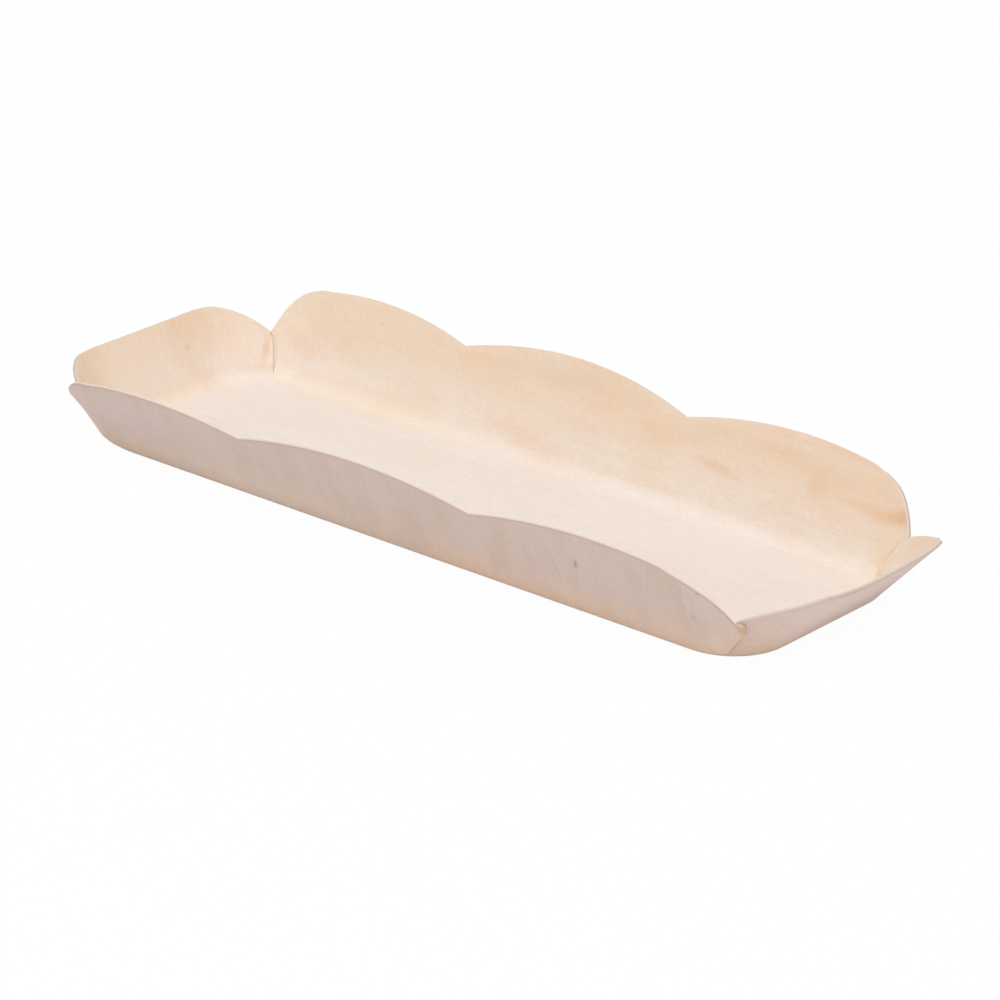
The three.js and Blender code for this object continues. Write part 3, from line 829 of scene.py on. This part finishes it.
def corner_glue_mesh(name, end, side):
    """A round pad that follows the corner between the lapped sheets, and the glue squeezed out of
    it. The pad's thickness is the root of 1 less the fourth power of the distance out."""
    angle = wall_angle(end, size_at(end, "notch"))
    notch_slope = size_at(end, "notch_slope")
    lap_width = side_tongue_width + end_tongue_width
    wide_enough = (dab_least_width + 2 * dab_inset) / lap_width
    lowest = max(bend_radius * angle + dab_inset, lerp(parted_slope, notch_slope, wide_enough))
    highest = notch_slope - tongue_drop - dab_inset
    around = np.linspace(0, 4 * quarter_turn, dab_columns)[:, None]
    out = np.linspace(0, 1, dab_rows)[None, :]
    slope = lerp(lowest, highest, (out * np.sin(around) + 1) / 2)
    side_reach, end_reach = (tongue_width_at(into, end, slope) - dab_inset for into in (-1, 1))
    past_notch = lerp(-end_reach, side_reach, (out * np.cos(around) + 1) / 2)
    way = size_at(end, "notch") + width_as_way(end, slope, past_notch)
    lift = corner_glue_thickness / 2 * np.sqrt(1 - out**4)
    grids = [sheet_points(end, side, way, slope, sign * lift, False) for sign in (-1, 1)]
    grids += [glue_drop(end, side), glue_bead(end, side)]
    faces, tones, count = [], [], 0
    for grid, tone in zip(grids, (THICK, THICK, THICK, THIN)):
        faces += grid_faces(count, *grid.shape[:2]).tolist()
        tones += [tone] * (len(faces) - len(tones))
        count += grid.size // 3
    mesh = bpy.data.meshes.new(name)
    points = np.concatenate([grid.reshape(-1, 3) for grid in grids])
    mesh.from_pydata((points + tray_place).tolist(), [], faces)
    mesh.polygons.foreach_set("material_index", tones)
    join_seams(mesh, face_outwards=True)
    return mesh


for end, end_name in ((LEFT, "left"), (RIGHT, "right")):
    for side, side_name in ((FRONT, "front"), (BACK, "back")):
        corner = f"{side_name}_{end_name}"
        new_piece(
            f"corner_glue_dab_{corner}",
            corner_glue_mesh(f"corner_glue_dab_{corner}", end, side),
            (corner_glue, thin_glue), f"corner_glue_{corner}",
        )

# Studio: a plain white table that runs out of sight in a white room. A large soft lamp hangs above
# and in front, and a weaker one stands low on the right. The table lies a hair under the tray.
table_half = 3.0
table_drop = 0.0001
table_white_share = 0.97
table_corners = [(-1, -1), (1, -1), (1, 1), (-1, 1)]
table_points = [(table_half * x, table_half * y, -table_drop) for x, y in table_corners]
table_mesh = bpy.data.meshes.new("white_table")
table_mesh.from_pydata(table_points, [], [(0, 1, 2, 3)])
white_table = bpy.data.objects.new("white_table", table_mesh)
bpy.context.scene.collection.objects.link(white_table)


def seen_directly(tree):
    """1 for a ray from the camera or through a shiny or clear surface, and 0 for any other."""
    path = add_node(tree, "ShaderNodeLightPath").outputs
    seen = math_node(tree, "MAXIMUM", path["Is Camera Ray"], path["Is Glossy Ray"])
    return math_node(tree, "MAXIMUM", seen, path["Is Transmission Ray"])


table_white, table_tree, table_shader = new_material("table_white")
table_shader.inputs["Base Color"].default_value = (0.92, 0.92, 0.92, 1)
table_shader.inputs["Roughness"].default_value = 0.9
table_shader.inputs["Specular IOR Level"].default_value = 0.0
table_glow = add_node(table_tree, "ShaderNodeEmission", {"Color": (1, 1, 1, 1), "Strength": 1.0})
table_share = math_node(table_tree, "MULTIPLY", seen_directly(table_tree), table_white_share)
table_layers = {0: table_share, 1: table_shader.outputs[0], 2: table_glow.outputs[0]}
table_mix = add_node(table_tree, "ShaderNodeMixShader", table_layers)
table_tree.links.new(table_mix.outputs[0], table_tree.nodes["Material Output"].inputs["Surface"])
table_mesh.materials.append(table_white)

room_light_strength = 0.55
room = bpy.data.worlds.new("white_room")
bpy.context.scene.world = room
room.use_nodes = True
room_tree = room.node_tree
room_light = room_tree.nodes["Background"]
room_light.inputs["Color"].default_value = (1, 1, 1, 1)
room_strength = spread(room_tree, seen_directly(room_tree), low=room_light_strength, high=1.0)
room_tree.links.new(room_strength, room_light.inputs["Strength"])


def soft_lamp(name, place, aim, size, watts):
    """A square soft lamp at a place, turned to face a point."""
    lamp = bpy.data.lights.new(name, "AREA")
    lamp.size = size
    lamp.energy = watts
    holder = bpy.data.objects.new(name, lamp)
    bpy.context.scene.collection.objects.link(holder)
    holder.location = place
    holder.rotation_mode = "QUATERNION"
    holder.rotation_quaternion = (Vector(aim) - Vector(place)).to_track_quat("-Z", "Y")


soft_lamp("overhead_lamp", place=(0.1, -0.45, 1.05), aim=(0, 0, 0), size=0.8, watts=8.1)
soft_lamp("right_fill_lamp", place=(1.1, -0.15, 0.07), aim=(0, 0, 0.02), size=0.6, watts=2.0)

# Camera: the photograph's view, worked out from the tray's outline in it.
view_azimuth = math.radians(38.14)
view_elevation = math.radians(22.64)
view_roll = math.radians(2.14)
view_distance = 1.2118
view_focal_pixels = 5202.6
view_centre_pixel = (482.55, 510.22)
image_pixels = 1000
sensor_width = 36.0

camera_data = bpy.data.cameras.new("photo_camera")
camera_data.sensor_width = sensor_width
camera_data.lens = sensor_width * view_focal_pixels / image_pixels
camera_data.shift_x = 0.5 - view_centre_pixel[0] / image_pixels
camera_data.shift_y = view_centre_pixel[1] / image_pixels - 0.5
camera_data.clip_start = 0.01
camera_data.clip_end = 20.0
photo_camera = bpy.data.objects.new("photo_camera", camera_data)
bpy.context.scene.collection.objects.link(photo_camera)
towards_camera = Vector((
    math.sin(view_azimuth) * math.cos(view_elevation),
    -math.cos(view_azimuth) * math.cos(view_elevation),
    math.sin(view_elevation),
))
level_right = Vector((math.cos(view_azimuth), math.sin(view_azimuth), 0))
level_up = towards_camera.cross(level_right)
rolled_right = math.cos(view_roll) * level_right + math.sin(view_roll) * level_up
rolled_up = math.cos(view_roll) * level_up - math.sin(view_roll) * level_right
view_target = Vector(tray_place) + Vector((0, 0, sheet_thickness / 2))
turned = Matrix((rolled_right, rolled_up, towards_camera)).transposed().to_4x4()
photo_camera.matrix_world = Matrix.Translation(view_target + towards_camera * view_distance) @ turned
bpy.context.scene.camera = photo_camera
bpy.context.scene.view_settings.view_transform = "Standard"
